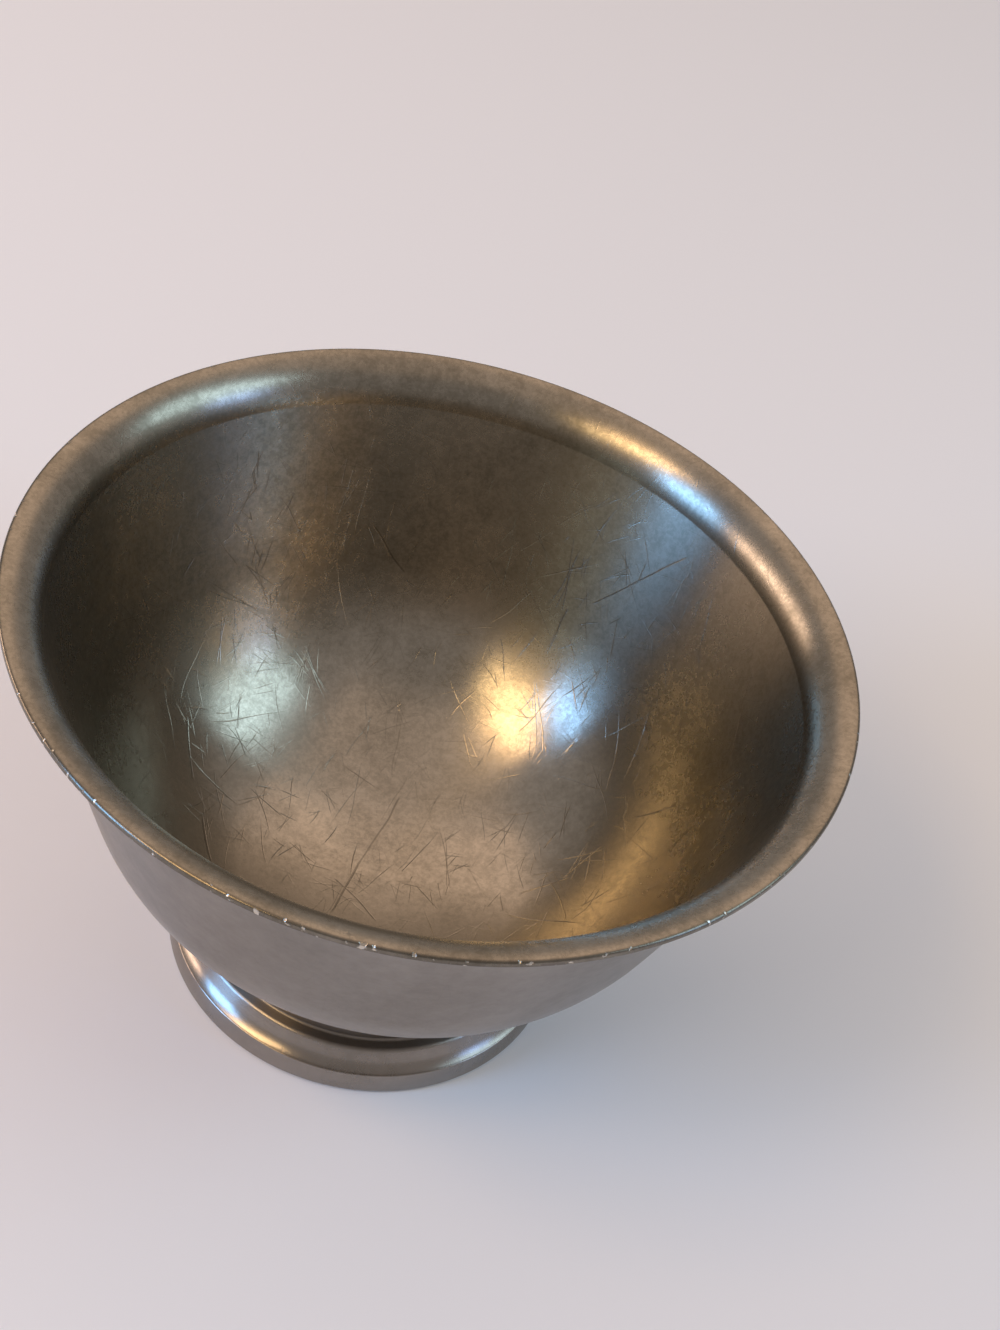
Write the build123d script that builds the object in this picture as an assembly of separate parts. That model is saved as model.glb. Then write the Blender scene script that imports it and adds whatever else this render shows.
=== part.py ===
from build123d import *
import os
from math import cos, radians, sin, tan

# Small footed bowl of spun pewter with an everted lip, open at the top and hollow under its foot.
# Millimetres, +Z up. The origin is on the bowl's axis, in the plane that the foot stands on.
# Every section is drawn as radius and height, and turned once round the axis.

# Whole object
rim_d = 127.0
height = 76.0
bowl_lift = 14.0

# Bowl: one round of sheet, spun over a form to one even gauge
bowl_gauge = 1.2
rim_edge_r = 0.4
lip_roll_r = 6.7
lip_turn = 87.0
throat_r = 1.5
wall_lean = 17.3
shoulder_r = 36.9
dish_tilt = 16.0

# Foot: a second piece, cast and turned: a short neck on a ledge, a hollow cone and a plain band
foot_d = 66.2
foot_gauge = 1.2
band_h = 4.2
band_t = 1.7
band_draw_in = 0.5
band_heel_r = 1.0
band_edge_r = 0.25
band_root_r = 0.8
sweep_low_r = 0.5
sweep_low_turn = 30.0
sweep_top_r = 3.6
sweep_top_turn = 33.0
cone_run = 2.1
ledge_w = 2.0
ledge_edge_r = 0.8
ledge_root_r = 0.5

# Soft solder that holds the foot to the bowl
solder_film = 0.15
solder_r = 1.1

rim_r = rim_d / 2
foot_r = foot_d / 2
quarter_turn = 90


def straight_wall():
    """Length of straight wall that brings the middle of the bowl's underside down to its lift."""
    lean = radians(wall_lean)
    fall = tan(radians(dish_tilt) / 2)
    lip = JernArc((rim_r, height), (-1, 0), lip_roll_r, lip_turn)
    throat = JernArc(lip @ 1, lip % 1, throat_r, quarter_turn - lip_turn - wall_lean)
    shoulder = JernArc(throat @ 1, throat % 1, shoulder_r, dish_tilt + wall_lean - quarter_turn)
    spare = (shoulder @ 1).Y - (shoulder @ 1).X * fall - bowl_gauge - bowl_lift
    return spare / (cos(lean) - sin(lean) * fall)


def bowl_line(skin):
    """The sheet from its rim to its centre, as the line that lies skin outside its inner face."""
    lip = JernArc((rim_r, height - skin), (-1, 0), lip_roll_r - skin, lip_turn)
    throat = JernArc(lip @ 1, lip % 1, throat_r + skin, quarter_turn - lip_turn - wall_lean)
    wall = Line(throat @ 1, throat @ 1 + (throat % 1) * straight_wall())
    shoulder = JernArc(wall @ 1, wall % 1, shoulder_r + skin, dish_tilt + wall_lean - quarter_turn)
    dish = JernArc(shoulder @ 1, shoulder % 1, (shoulder @ 1).X / sin(radians(dish_tilt)), -dish_tilt)
    return [lip, throat, wall, shoulder, dish]


def bowl_filled(skin):
    """Section of a full bowl: everything between the axis and the line skin outside its inner face."""
    line = bowl_line(skin)
    rim = line[0] @ 0
    middle = line[-1] @ 1
    over = Polyline((0, middle.Y), (0, height), (rim.X, height), (rim.X, rim.Y))
    return make_face(line + over.edges())


def rounded(face, corner, radius):
    """The section with its vertex nearest to a corner rounded."""
    return fillet(face.vertices().sort_by_distance(corner)[0], radius)


def bowl_section():
    inner = bowl_line(0)
    outer = bowl_line(bowl_gauge)
    rim = Line(inner[0] @ 0, outer[0] @ 0)
    centre = Line(inner[-1] @ 1, outer[-1] @ 1)
    sheet = make_face(inner + outer + [rim, centre])
    for corner in (rim @ 0, rim @ 1):
        sheet = rounded(sheet, corner, rim_edge_r)
    return sheet


def foot_line():
    """The foot's outside from its step, up the hollow cone and in along the ledge, to its neck."""
    low = JernArc((foot_r - band_draw_in, band_h), (-1, 0), sweep_low_r, -sweep_low_turn)
    top = JernArc(low @ 1, low % 1, sweep_top_r, -sweep_top_turn)
    cone = Line(top @ 1, top @ 1 + (top % 1) * cone_run)
    ledge = Line(cone @ 1, cone @ 1 - (ledge_w, 0))
    return [low, top, cone, ledge]


def foot_filled():
    """Section inside the foot's outside, above its step."""
    line = foot_line()
    step = line[0] @ 0
    neck = line[-1] @ 1
    closing = Polyline(neck, (neck.X, height), (0, height), (0, step.Y), step)
    filled = make_face(line + closing.edges())
    return rounded(rounded(filled, line[-1] @ 0, ledge_edge_r), neck, ledge_root_r)


def band_filled():
    """Section inside the foot's band: rounded at the heel and drawn in a little towards the step."""
    step = foot_line()[0] @ 0
    rise = band_h - band_heel_r
    swell_r = (band_draw_in**2 + rise**2) / (2 * band_draw_in)
    heel = JernArc((foot_r - band_heel_r, 0), (1, 0), band_heel_r, quarter_turn)
    swell = RadiusArc(heel @ 1, step, -swell_r)
    closing = Polyline(step, (0, step.Y), (0, 0), heel @ 0)
    return make_face([heel, swell] + closing.edges())


def foot_hollow():
    """Section of the hollow under the foot: inside the band, the cone and the neck."""
    neck = foot_line()[-1] @ 1
    low = (foot_r - band_t, band_h - foot_gauge)
    high = (neck.X - foot_gauge, neck.Y - foot_gauge)
    hollow = make_face(Polyline((0, 0), (low[0], 0), low, high, (high[0], height), (0, height), close=True))
    return rounded(rounded(hollow, low, band_root_r), high, band_root_r)


def foot_strip():
    """The foot's wall, running on up into the bowl."""
    outside = rounded(band_filled() + foot_filled(), foot_line()[0] @ 0, band_edge_r)
    return outside - foot_hollow()


def foot_section():
    """The foot's wall, ending one film of solder under the bowl."""
    return foot_strip() - bowl_filled(bowl_gauge + solder_film)


def solder_section():
    """Film over the foot's top edge, with a hollow fillet in the corner at each side of it."""
    neck = foot_line()[-1] @ 1
    reach = Pos(neck.X - foot_gauge - solder_r, neck.Y)
    reach *= Rectangle(foot_gauge + 2 * solder_r, height, align=Align.MIN)
    pad = reach & (bowl_filled(bowl_gauge + solder_r) - bowl_filled(bowl_gauge))
    under_side = reach & (Curve() + bowl_line(bowl_gauge + solder_r))
    ends = under_side.vertices().sort_by(Axis.X)
    for centre in (ends[0], ends[-1]):
        pad -= Pos(*centre) * Circle(solder_r)
    return (pad - foot_section()).faces().sort_by(SortBy.AREA)[-1]


def turned(section):
    """One full turn of a section of radius and height round the upright axis."""
    return revolve(Plane.XZ * section, Axis.Z, 360)


os.makedirs("parts", exist_ok=True)
pieces = {"bowl": bowl_section(), "foot": foot_section(), "solder_seam": solder_section()}
for node, section in pieces.items():
    export_step(turned(section), f"parts/{node}.step")
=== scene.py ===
from functools import partial
from math import acos, asin, atan2, cos, degrees, pi, radians, sin, tan

import bmesh
import bpy
from mathutils import Matrix, Vector


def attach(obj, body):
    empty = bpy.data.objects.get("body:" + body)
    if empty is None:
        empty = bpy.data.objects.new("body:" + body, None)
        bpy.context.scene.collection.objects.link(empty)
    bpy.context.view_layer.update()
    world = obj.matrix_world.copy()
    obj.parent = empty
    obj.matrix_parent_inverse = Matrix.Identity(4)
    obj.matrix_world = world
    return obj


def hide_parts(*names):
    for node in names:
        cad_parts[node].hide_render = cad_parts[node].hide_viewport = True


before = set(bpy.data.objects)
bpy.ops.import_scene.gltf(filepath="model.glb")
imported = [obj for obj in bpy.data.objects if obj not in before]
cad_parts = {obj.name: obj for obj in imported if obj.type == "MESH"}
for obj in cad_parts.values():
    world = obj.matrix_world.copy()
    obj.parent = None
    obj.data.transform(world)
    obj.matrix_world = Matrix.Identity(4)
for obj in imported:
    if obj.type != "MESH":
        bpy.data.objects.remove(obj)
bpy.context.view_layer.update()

# Lengths are in metres and angles in degrees. A turned piece is swept in steps as one wedge, which
# is then copied round the axis.
MM = 0.001
QUARTER = 90
WEDGES = 16
WEDGE_STEPS = 15
DEGREES_A_STEP = 2
SHARP_CORNER = 40
WELD = 0.001 * MM

# The bowl is one round of pewter sheet, spun on a lathe over a form until it fits it. Its edge is
# then rolled outwards into the lip, and the bare edge is eased with a file. Fine turning lines
# from the tool run round it.
rim_r = 63.5 * MM
height = 76 * MM
bowl_gauge = 1.2 * MM
rim_edge_r = 0.4 * MM
lip_roll_r = 6.7 * MM
lip_turn = 87
throat_r = 1.5 * MM
wall_lean = 17.3
wall_run = 27.53 * MM
shoulder_r = 36.9 * MM
dish_tilt = 16


class Outline:
    """Half of a turned section in the XZ plane: arcs and straight runs that follow on."""

    def __init__(self, x, z, heading):
        self.mesh = bmesh.new()
        self.start = self.end = self.mesh.verts.new((x, 0, z))
        self.heading = heading

    def again(self, heading):
        """Back to the start, to draw the other side."""
        self.end = self.start
        self.heading = heading

    def to(self, x, z):
        """A straight run to a point."""
        self.end = bmesh.ops.extrude_vert_indiv(self.mesh, verts=[self.end])["verts"][0]
        self.end.co = (x, 0, z)

    def close(self):
        """A straight run between the two loose ends."""
        ends = [v for v in self.mesh.verts if len(v.link_edges) == 1]
        bmesh.ops.contextual_create(self.mesh, geom=ends)

    def line(self, length, steps=1):
        """A straight run ahead."""
        ahead = Vector((cos(radians(self.heading)), 0, sin(radians(self.heading))))
        for _ in range(steps):
            self.end = bmesh.ops.extrude_vert_indiv(self.mesh, verts=[self.end])["verts"][0]
            bmesh.ops.translate(self.mesh, verts=[self.end], vec=ahead * length / steps)

    def arc(self, radius, turn):
        """A bend of so many degrees, to the left, or to the right where they are negative."""
        heading = radians(self.heading)
        side = Vector((-sin(heading), 0, cos(heading))) * (radius if turn > 0 else -radius)
        swept = bmesh.ops.spin(
            self.mesh,
            geom=[self.end],
            cent=self.end.co + side,
            axis=(0, -1, 0),
            angle=radians(turn),
            steps=max(2, round(abs(turn) / DEGREES_A_STEP)),
        )
        self.end = next(v for v in swept["geom_last"] if isinstance(v, bmesh.types.BMVert))
        self.heading += turn

    def turned(self, name, material):
        """The piece that one full turn of the outline round the upright axis makes."""
        about = {"cent": (0, 0, 0), "axis": (0, 0, 1)}
        wedge = 2 * pi / WEDGES
        drawn = self.mesh.verts[:] + self.mesh.edges[:]
        bmesh.ops.spin(self.mesh, geom=drawn, angle=wedge, steps=WEDGE_STEPS, **about)
        swept = self.mesh.verts[:] + self.mesh.edges[:] + self.mesh.faces[:]
        copies = WEDGES - 1
        about.update(angle=wedge * copies, steps=copies, use_duplicate=True)
        bmesh.ops.spin(self.mesh, geom=swept, **about)
        bmesh.ops.remove_doubles(self.mesh, verts=self.mesh.verts[:], dist=WELD)
        bmesh.ops.recalc_face_normals(self.mesh, faces=self.mesh.faces[:])
        shape = bpy.data.meshes.new(name)
        self.mesh.to_mesh(shape)
        self.mesh.free()
        shape.polygons.foreach_set("use_smooth", [True] * len(shape.polygons))
        shape.set_sharp_from_angle(angle=radians(SHARP_CORNER))
        shape.materials.append(material)
        piece = bpy.data.objects.new(name, shape)
        bpy.context.collection.objects.link(piece)
        return piece


def linear(colour):
    """An sRGB hex colour as the linear RGBA that the shaders take."""
    parts = [int(colour[i:i + 2], 16) / 255 for i in (1, 3, 5)]
    return [c / 12.92 if c <= 0.04045 else ((c + 0.055) / 1.055) ** 2.4 for c in parts] + [1]


def add_node(tree, kind, inputs=(), **settings):
    """A shader node. Each input is a value, or the node or socket that feeds it."""
    node = tree.nodes.new("ShaderNode" + kind)
    for name, value in settings.items():
        setattr(node, name, value)
    for name, value in inputs.items() if isinstance(inputs, dict) else enumerate(inputs):
        if isinstance(value, bpy.types.Node):
            value = value.outputs[0]
        if isinstance(value, bpy.types.NodeSocket):
            tree.links.new(value, node.inputs[name])
        else:
            node.inputs[name].default_value = value
    return node


# Fine scratches come in sets: how far apart they lie, how wide they are, and how strongly they
# show. The real ones are nearer 0.03 mm wide, and are drawn as wide as they need to be to show.
SCRATCHES = (
    (14 * MM, 0.11 * MM, 0.8),
    (8 * MM, 0.1 * MM, 0.7),
    (5 * MM, 0.09 * MM, 0.6),
)
# The deepest ones, each from a point to a point, with its width, in millimetres
GOUGES = (
    ((0.2, 14.7, 16.5), (-5.7, -9.5, 15.9), 0.2),
    ((-36.5, 10.8, 26.6), (-33.8, 4.8, 23.5), 0.25),
    ((-29.5, -3.5, 20.9), (-27.1, -8.7, 20.3), 0.25),
    ((-5.3, -4.7, 15.5), (0.2, -8.9, 15.7), 0.16),
    ((-14.5, 47.8, 47.5), (-9, 47.2, 41.6), 0.22),
    ((40.4, 12.7, 31.2), (51.2, 5.7, 52.4), 0.14),
    ((25.6, 43.3, 48.5), (36, 41.3, 63.1), 0.14),
)


def spun_pewter(name, clean, stain_and_shade, rough, wear, painted_shade=0, gouges=()):
    """Turned pewter: satin drawn out across the turning lines, under film and wear, with painted
    shade in the corner under the bowl.
    """
    material = bpy.data.materials.new(name)
    material.use_nodes = True
    tree = material.node_tree
    tree.nodes.clear()
    add = partial(add_node, tree)
    place = add("TexCoord").outputs["Object"]
    facing = add("NewGeometry").outputs["Normal"]
    flat = add("VectorMath", [place, (1, 1, 0)], operation="MULTIPLY")
    radius = add("VectorMath", [flat], operation="LENGTH").outputs["Value"]
    level = add("SeparateXYZ", [place]).outputs["Z"]

    # A slow waver keeps the scratches from being dead straight
    middle = (0.5, 0.5, 0.5)
    waver_size = 14 * MM
    waver_reach = 3 * MM
    waver = add("TexNoise", {"Vector": place, "Scale": 1 / waver_size, "Detail": 1})
    bend = add("VectorMath", [waver.outputs["Color"], middle], operation="SUBTRACT")
    bend = add("VectorMath", {0: bend, "Scale": waver_reach}, operation="SCALE")
    bent = add("VectorMath", [place, bend], operation="ADD")

    def one_more(cuts, away, aside, course, width, ends):
        """The cuts so far and one more, which runs along its course at a point so far away."""
        across = add("VectorMath", [facing, course], operation="CROSS_PRODUCT")
        across = add("VectorMath", [across], operation="NORMALIZE")
        off = add("VectorMath", [away, across], operation="DOT_PRODUCT").outputs["Value"]
        off = add("Math", [off, aside], operation="ADD")
        off = add("Math", [off], operation="ABSOLUTE")
        line = add("MapRange", {"Value": off, "From Max": width, "To Min": 1, "To Max": 0})
        return add("Math", [line, ends, cuts], operation="MULTIPLY_ADD")

    # Four scratches cross each cell of a set, in courses taken from the cell's random colour
    cuts = 0
    for apart, width, strength in SCRATCHES:
        cells = add("TexVoronoi", {"Vector": bent, "Scale": 1 / apart})
        away = add("VectorMath", [cells.outputs["Position"], bent], operation="SUBTRACT")
        reach = add("VectorMath", [away], operation="LENGTH").outputs["Value"]
        ends = add("MapRange", {
            "Value": reach,
            "From Min": 0.3 * apart,
            "From Max": 0.6 * apart,
            "To Min": strength,
            "To Max": 0,
        })
        chance = add("VectorMath", [cells.outputs["Color"], middle], operation="SUBTRACT")
        parts = add("SeparateXYZ", [chance])
        for order in ("XYZ", "YZX", "ZXY", "XZY"):
            course = add("CombineXYZ", [parts.outputs[axis] for axis in order])
            aside = add("Math", [parts.outputs[order[0]], 1.3 * apart], operation="MULTIPLY")
            cuts = one_more(cuts, away, aside, course, width, ends)

    # A gouge fades out a little way beyond its two ends
    for start, end, width in gouges:
        along = Vector(end) - Vector(start)
        away = add("VectorMath", [bent, Vector(start) * MM], operation="SUBTRACT")
        unit = along / along.length_squared / MM
        part = add("VectorMath", [away, unit], operation="DOT_PRODUCT").outputs["Value"]
        part = add("Math", [part, 0], operation="ADD", use_clamp=True)
        nearest = add("VectorMath", {0: along * MM, "Scale": part}, operation="SCALE")
        reach = add("VectorMath", [away, nearest], operation="DISTANCE").outputs["Value"]
        ends = add("MapRange", {
            "Value": reach,
            "From Min": 0.8 * MM,
            "From Max": 2 * MM,
            "To Min": 1.6,
            "To Max": 0,
        })
        cuts = one_more(cuts, away, 0, along, width * MM, ends)

    # The lip takes fewer of them than the inside
    used = add("MapRange", {
        "Value": radius,
        "From Min": 52 * MM,
        "From Max": 58 * MM,
        "To Min": wear,
        "To Max": 0.3 * wear,
    })
    cuts = add("Math", [cuts, used], operation="MULTIPLY", use_clamp=True)

    # A grey-brown film lies in clouds, thicker up the wall and thinner on the lip, with small
    # # patches in it. Painted shade darkens the corner under the bowl, round the foot's neck.
    cloud_size = 16 * MM
    patch_size = 2.2 * MM
    patch_share = 0.25
    cloud = add("TexNoise", {
        "Vector": place,
        "Scale": 1 / cloud_size,
        "Detail": 4,
        "Roughness": 0.6,
    })
    climb = add("MapRange", {
        "Value": level,
        "From Min": 18 * MM,
        "From Max": 45 * MM,
        "To Min": -0.2,
        "To Max": 0.25,
    })
    lip = add("MapRange", {
        "Value": radius,
        "From Min": 56 * MM,
        "From Max": 60 * MM,
        "To Max": -0.15,
    })
    # Painted shade: the colour darkens round the foot's neck, in the corner just under the bowl
    painted_shade_mask = add("MapRange", {
        "Value": radius,
        "From Min": 29 * MM,
        "From Max": 31 * MM,
        "To Min": painted_shade,
        "To Max": 0,
    })
    above = add("MapRange", {"Value": level, "From Min": 6.5 * MM, "From Max": 8 * MM})
    film_and_shade = add("Math", [painted_shade_mask, above, climb], operation="MULTIPLY_ADD")
    film_and_shade = add("Math", [film_and_shade, lip], operation="ADD")
    film_and_shade = add("Math", [cloud, film_and_shade], operation="ADD")
    film_and_shade = add("MapRange", {"Value": film_and_shade, "From Min": 0.15, "From Max": 0.85})
    patch = add("TexNoise", {
        "Vector": place,
        "Scale": 1 / patch_size,
        "Detail": 3,
        "Roughness": 0.7,
    })
    patch = add("MapRange", {"Value": patch, "From Min": 0.35, "From Max": 0.75})
    dirt_and_shade = add("Mix", {0: patch_share, 2: film_and_shade, 3: patch})

    # Pits and turning lines are both drawn coarser than the real 0.2 mm, so that they show
    pit_size = 0.8 * MM
    turning_size = 0.6 * MM
    pit_share = 0.08 * wear
    pits = add("TexNoise", {
        "Vector": place,
        "Scale": 1 / pit_size,
        "Detail": 2,
        "Roughness": 0.8,
    })
    specks = add("MapRange", {
        "Value": pits,
        "From Min": 0.42,
        "From Max": 0.58,
        "To Min": -pit_share,
        "To Max": pit_share,
    })
    dirt_and_shade = add("Math", [dirt_and_shade, specks], operation="ADD", use_clamp=True)
    section = add("CombineXYZ", [radius, level])
    turning = add("TexNoise", {
        "Vector": section,
        "Scale": 1 / turning_size,
        "Detail": 2,
        "Roughness": 0.7,
    })

    # The rim's bare edge is dark, as the scratches are, with bright nicks in it
    chip_size = 1.1 * MM
    edge = add("MapRange", {"Value": radius, "From Min": 62.9 * MM, "From Max": 63.3 * MM})
    dark = add("Math", [cuts, 0.4], operation="MULTIPLY")
    dark = add("Math", [edge, 0.5, dark], operation="MULTIPLY_ADD")
    chips = add("TexNoise", {"Vector": place, "Scale": 1 / chip_size, "Detail": 1})
    chips = add("MapRange", {"Value": chips, "From Min": 0.65, "From Max": 0.72})
    nicks = add("Math", [edge, chips], operation="MULTIPLY")
    colour = linear(clean)
    for share, tint in ((dirt_and_shade, stain_and_shade), (dark, "#3b342b"), (nicks, "#d2cbbf")):
        colour = add("Mix", {0: share, 6: colour, 7: linear(tint)}, data_type="RGBA").outputs[2]

    # Heights in millimetres
    surface = 0
    for pattern, depth in ((turning, 0.003), (pits, 0.004 * wear), (nicks, -0.12), (cuts, -0.02)):
        surface = add("Math", [pattern, depth, surface], operation="MULTIPLY_ADD")
    relief = add("Bump", {"Strength": 1, "Distance": MM, "Height": surface})

    # The tangent runs round the bowl, and a quarter turn from it lies across the turning lines
    satin = add("MapRange", {"Value": dirt_and_shade, "To Min": rough - 0.05, "To Max": rough + 0.07})
    metal = add("BsdfPrincipled", {
        "Base Color": colour,
        "Metallic": 1,
        "Roughness": satin.outputs[0],
        "Anisotropic": 0.8,
        "Anisotropic Rotation": 0.25,
        "Tangent": add("Tangent", direction_type="RADIAL", axis="Z"),
        "Normal": relief,
    })
    add("OutputMaterial", {"Surface": metal})
    return material


# Inside and on the lip, use has rubbed the pewter brighter and cut it all over with hairlines,
# and a brown film is left between them. Its highlights are bright, and long up the wall.
worn_pewter = spun_pewter(
    "worn_pewter", "#beb7aa", "#7b766a", rough=0.25, wear=1, gouges=GOUGES
)
# Outside and on the foot, it is an even, cooler grey satin with few marks, and painted shade
# darkens the corner where the foot meets the bowl.
satin_pewter = spun_pewter(
    "satin_pewter", "#a39c95", "#857f78", rough=0.28, wear=0.25, painted_shade=0.9
)

# Both corners of the bare edge are rounded. Each rounding ends this far round the lip's curve, and
# its centre is this high above the middle of that curve.
edge_slope = degrees(asin(rim_edge_r / (lip_roll_r - rim_edge_r)))
under_slope = degrees(asin(rim_edge_r / (lip_roll_r - bowl_gauge + rim_edge_r)))
edge_top = (lip_roll_r - rim_edge_r) * cos(radians(edge_slope))
edge_under = (lip_roll_r - bowl_gauge + rim_edge_r) * cos(radians(under_slope))
throat_turn = wall_lean + lip_turn - QUARTER
shoulder_turn = QUARTER - wall_lean - dish_tilt

bowl_path = Outline(rim_r, height - lip_roll_r + edge_top, QUARTER)
bowl_path.arc(rim_edge_r, QUARTER + edge_slope)
bowl_path.arc(lip_roll_r, lip_turn - edge_slope)
bowl_path.arc(throat_r, -throat_turn)
bowl_path.line(wall_run, steps=8)
bowl_path.arc(shoulder_r, -shoulder_turn)
bowl_path.arc(bowl_path.end.co.x / sin(radians(dish_tilt)), -dish_tilt)
bowl_path.again(-QUARTER)
bowl_path.line(edge_top - edge_under)
bowl_path.arc(rim_edge_r, under_slope - QUARTER)
bowl_path.arc(lip_roll_r - bowl_gauge, lip_turn - under_slope)
bowl_path.arc(throat_r + bowl_gauge, -throat_turn)
bowl_path.line(wall_run, steps=8)
shoulder_out_r = shoulder_r + bowl_gauge
bowl_path.arc(shoulder_out_r, -shoulder_turn)
to_centre = Vector((-sin(radians(dish_tilt)), 0, cos(radians(dish_tilt))))
shoulder_centre = bowl_path.end.co + shoulder_out_r * to_centre
bowl_path.arc(bowl_path.end.co.x / sin(radians(dish_tilt)), -dish_tilt)
bowl = bowl_path.turned("spun_bowl", worn_pewter)
bowl.data.materials.append(satin_pewter)
# Faces that look down are the outside.
for face in bowl.data.polygons:
    face.material_index = face.normal.z < 0
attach(bowl, "root")
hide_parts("bowl")

# The foot is cast in pewter and turned: a plain band, which the bowl stands on, a hollow cone
# above it, and a ledge with a short neck that carries the bowl. The lathe tool left clean corners
# at the band's step and along the ledge.
foot_r = 33.1 * MM
foot_gauge = 1.2 * MM
band_h = 4.2 * MM
band_t = 1.7 * MM
band_draw_in = 0.5 * MM
band_heel_r = 1 * MM
band_edge_r = 0.25 * MM
band_root_r = 0.8 * MM
sweep_low_r = 0.5 * MM
sweep_low_turn = 30
sweep_top_r = 3.6 * MM
sweep_top_turn = 33
cone_run = 2.1 * MM
ledge_w = 2 * MM
ledge_edge_r = 0.8 * MM
ledge_root_r = 0.5 * MM
solder_film = 0.15 * MM


def under_bowl(radius, skin):
    """The point at a radius on the line so far under the bowl's shoulder, and its slope there."""
    line_r = shoulder_out_r + skin
    slope = asin((radius - shoulder_centre.x) / line_r)
    return Vector((radius, 0, shoulder_centre.z - line_r * cos(slope))), degrees(slope)


# The band's face swells a little. The rounding on its step touches that swell and the hollow above
# it, so its centre comes from the triangle that it makes with the centres of those two.
swell_rise = band_h - band_heel_r
swell_r = (band_draw_in**2 + swell_rise**2) / (2 * band_draw_in)
swell_centre = Vector((foot_r - swell_r, band_heel_r))
sweep_centre = Vector((foot_r - band_draw_in, band_h + sweep_low_r))
apart = sweep_centre - swell_centre
inside_r = swell_r - band_edge_r
outside_r = sweep_low_r + band_edge_r
cosine = (inside_r**2 + apart.length_squared - outside_r**2) / (2 * inside_r * apart.length)
spread = acos(cosine)
swell_turn = degrees(atan2(apart.y, apart.x) - spread)
edge_x = swell_centre.x + inside_r * cos(radians(swell_turn)) - sweep_centre.x
sweep_trim = degrees(asin(-edge_x / outside_r))
cone_turn = QUARTER - sweep_low_turn - sweep_top_turn
ledge_turn = QUARTER - cone_turn
ledge_trim = ledge_edge_r * tan(radians(ledge_turn) / 2)

foot_path = Outline(foot_r - band_t, 0, 0)
foot_path.line(band_t - band_heel_r)
foot_path.arc(band_heel_r, QUARTER)
foot_path.arc(swell_r, swell_turn)
foot_path.arc(band_edge_r, QUARTER - swell_turn - sweep_trim)
foot_path.arc(sweep_low_r, sweep_trim - sweep_low_turn)
foot_path.arc(sweep_top_r, -sweep_top_turn)
foot_path.line(cone_run - ledge_trim, steps=2)
foot_path.arc(ledge_edge_r, ledge_turn)
foot_path.line(ledge_w - ledge_trim - ledge_root_r)
foot_path.arc(ledge_root_r, -QUARTER)
neck_r = foot_path.end.co.x
ledge_z = foot_path.end.co.z - ledge_root_r
neck_top = under_bowl(neck_r, solder_film)[0]
foot_path.line(neck_top.z - foot_path.end.co.z, steps=6)

# Inside, a straight cone leads from the band to the neck
bore_r = neck_r - foot_gauge
rise = ledge_z - band_h
lean = degrees(atan2(foot_r - band_t - bore_r, rise))
lean_trim = band_root_r * tan(radians(lean) / 2)
bore_top = under_bowl(bore_r, solder_film)[0]
foot_path.again(QUARTER)
foot_path.line(band_h - foot_gauge - lean_trim)
foot_path.arc(band_root_r, lean)
foot_path.line(rise / cos(radians(lean)) - 2 * lean_trim, steps=4)
foot_path.arc(band_root_r, -lean)
foot_path.line(bore_top.z - foot_path.end.co.z, steps=6)
foot_path.close()
foot = foot_path.turned("turned_foot", satin_pewter)
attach(foot, "root")
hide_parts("foot")

# Soft tin solder joins the two. It was run in with the bowl upside down, and fills the joint with
# a thin film, and the corner on each side of it with a small hollow fillet.
solder_r = 1.1 * MM

# It was wiped while it set, and is left duller and a little darker than the pewter, in soft waves.
wave_size = 2.5 * MM
wave_depth = 0.08 * MM
soft_solder = bpy.data.materials.new("wiped_tin_solder")
soft_solder.use_nodes = True
soft_solder.node_tree.nodes.clear()
add = partial(add_node, soft_solder.node_tree)
place = add("TexCoord").outputs["Object"]
wiped = add("TexNoise", {"Vector": place, "Scale": 1 / wave_size, "Detail": 2})
pale, dull = linear("#a09d98"), linear("#837f79")
metal = add("BsdfPrincipled", {
    "Base Color": add("Mix", {0: wiped, 6: pale, 7: dull}, data_type="RGBA").outputs[2],
    "Metallic": 1,
    "Roughness": add("MapRange", {"Value": wiped, "To Min": 0.36, "To Max": 0.48}),
    "Normal": add("Bump", {"Strength": 1, "Distance": wave_depth, "Height": wiped}),
})
add("OutputMaterial", {"Surface": metal})

outer_centre, outer_slope = under_bowl(neck_r + solder_r, solder_r)
inner_slope = under_bowl(bore_r - solder_r, solder_r)[1]
solder_path = Outline(neck_r, outer_centre.z, QUARTER)
solder_path.arc(solder_r, outer_slope - QUARTER)
solder_path.heading = 2 * QUARTER + outer_slope
solder_path.arc(shoulder_out_r, inner_slope - outer_slope)
solder_path.heading = inner_slope
solder_path.arc(solder_r, -QUARTER - inner_slope)
solder_path.to(bore_top.x, bore_top.z)
solder_path.to(neck_top.x, neck_top.z)
solder_path.close()
solder = solder_path.turned("solder_seam_run", soft_solder)
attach(solder, "root")
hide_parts("solder_seam")

# The camera looks down into the bowl from the photograph's angle, tipped a little to one side.
camera_turn = -2.669
camera_tilt = 47.051
camera_roll = 16.159
camera = bpy.data.objects.new("camera", bpy.data.cameras.new("camera"))
camera.data.sensor_width = 36
camera.data.lens = 54.14
camera.data.clip_start = 0.01
camera.location = (0, -0.218183, 0.271538)
aim = Matrix.Rotation(radians(camera_turn), 4, "Z") @ Matrix.Rotation(radians(camera_tilt), 4, "X")
camera.rotation_euler = (aim @ Matrix.Rotation(radians(camera_roll), 4, "Z")).to_euler()
bpy.context.collection.objects.link(camera)
bpy.context.scene.camera = camera

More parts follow.
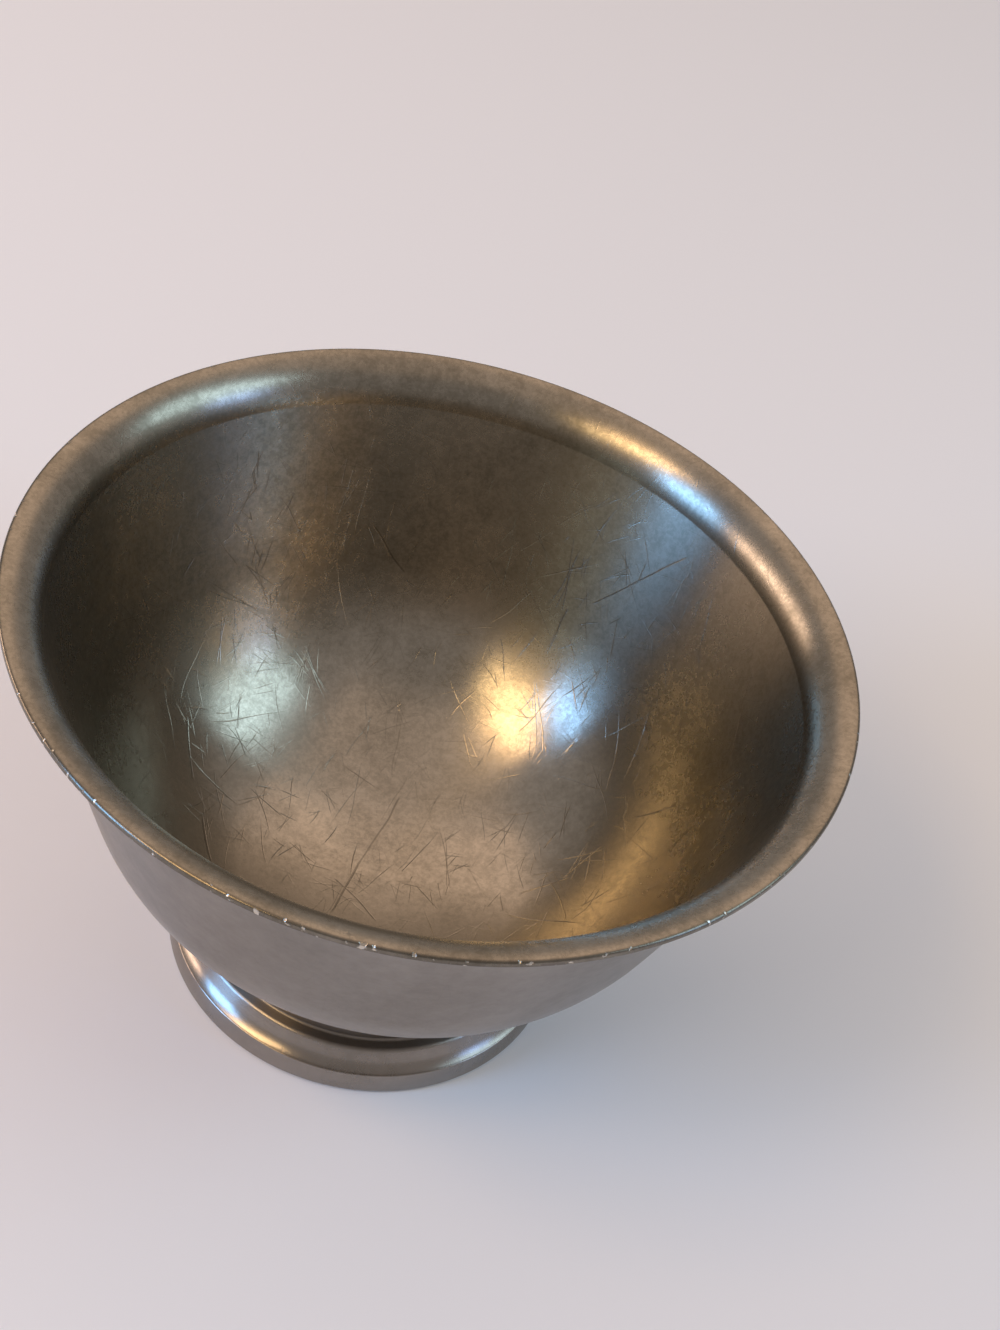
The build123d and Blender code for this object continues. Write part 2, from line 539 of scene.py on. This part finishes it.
# The floor is one wide, pale, matt disc, which takes the bowl's soft shadow and little else.
floor_r = 3
floor_mesh = bmesh.new()
bmesh.ops.create_circle(floor_mesh, cap_ends=True, segments=96, radius=floor_r)
floor_shape = bpy.data.meshes.new("floor")
floor_mesh.to_mesh(floor_shape)
floor_mesh.free()
floor = bpy.data.objects.new("floor", floor_shape)
bpy.context.collection.objects.link(floor)
pale_floor = bpy.data.materials.new("pale_floor")
pale_floor.use_nodes = True
pale_floor.node_tree.nodes.clear()
add = partial(add_node, pale_floor.node_tree)
matt = add("BsdfPrincipled", {"Base Color": linear("#ebebee"), "Roughness": 0.9})
add("OutputMaterial", {"Surface": matt})
floor_shape.materials.append(pale_floor)

# Soft lamps stand round the bowl, cool and warm, so that the pewter has both to reflect. Each has
# an azimuth and elevation in degrees, a width and height in metres, a power in watts and a colour.
LAMP_DISTANCE = 1.2
LAMPS = {
    "low_left": (-153, 20, 0.36, 0.7, 8, "#86c0ff"),
    "front_left": (-133, 46, 0.5, 0.3, 2.5, "#ffd89c"),
    "high_left": (-148, 56, 0.4, 0.25, 2, "#ffd09a"),
    "left": (172, 16, 0.8, 0.35, 5, "#ffdcc4"),
    "right": (2, 42, 0.7, 0.5, 2.9, "#c8ebfa"),
    "low_right": (-14, 24, 0.3, 0.3, 1.2, "#8fb8ff"),
    "back": (95, 50, 0.9, 0.6, 1.1, "#ffd4ae"),
    "overhead": (0, 90, 1, 1, 0.8, "#ffd4ae"),
}
for name, (azimuth, elevation, width, tall, power, colour) in LAMPS.items():
    light = bpy.data.lights.new(name, "AREA")
    light.shape = "RECTANGLE"
    light.size = width
    light.size_y = tall
    light.energy = power
    light.color = linear(colour)[:3]
    lamp = bpy.data.objects.new(name, light)
    around = Matrix.Rotation(radians(azimuth + QUARTER), 4, "Z")
    lean_back = Matrix.Rotation(radians(QUARTER - elevation), 4, "X")
    lamp.matrix_world = around @ lean_back @ Matrix.Translation((0, 0, LAMP_DISTANCE))
    bpy.context.collection.objects.link(lamp)

# The room's own even light fills the shadows.
world = bpy.data.worlds.new("room")
world.use_nodes = True
world.node_tree.nodes.clear()
add = partial(add_node, world.node_tree)
room = add("Background", {"Color": linear("#a09996"), "Strength": 1})
add("OutputWorld", {"Surface": room})
bpy.context.scene.world = world
bpy.context.scene.view_settings.view_transform = "Standard"
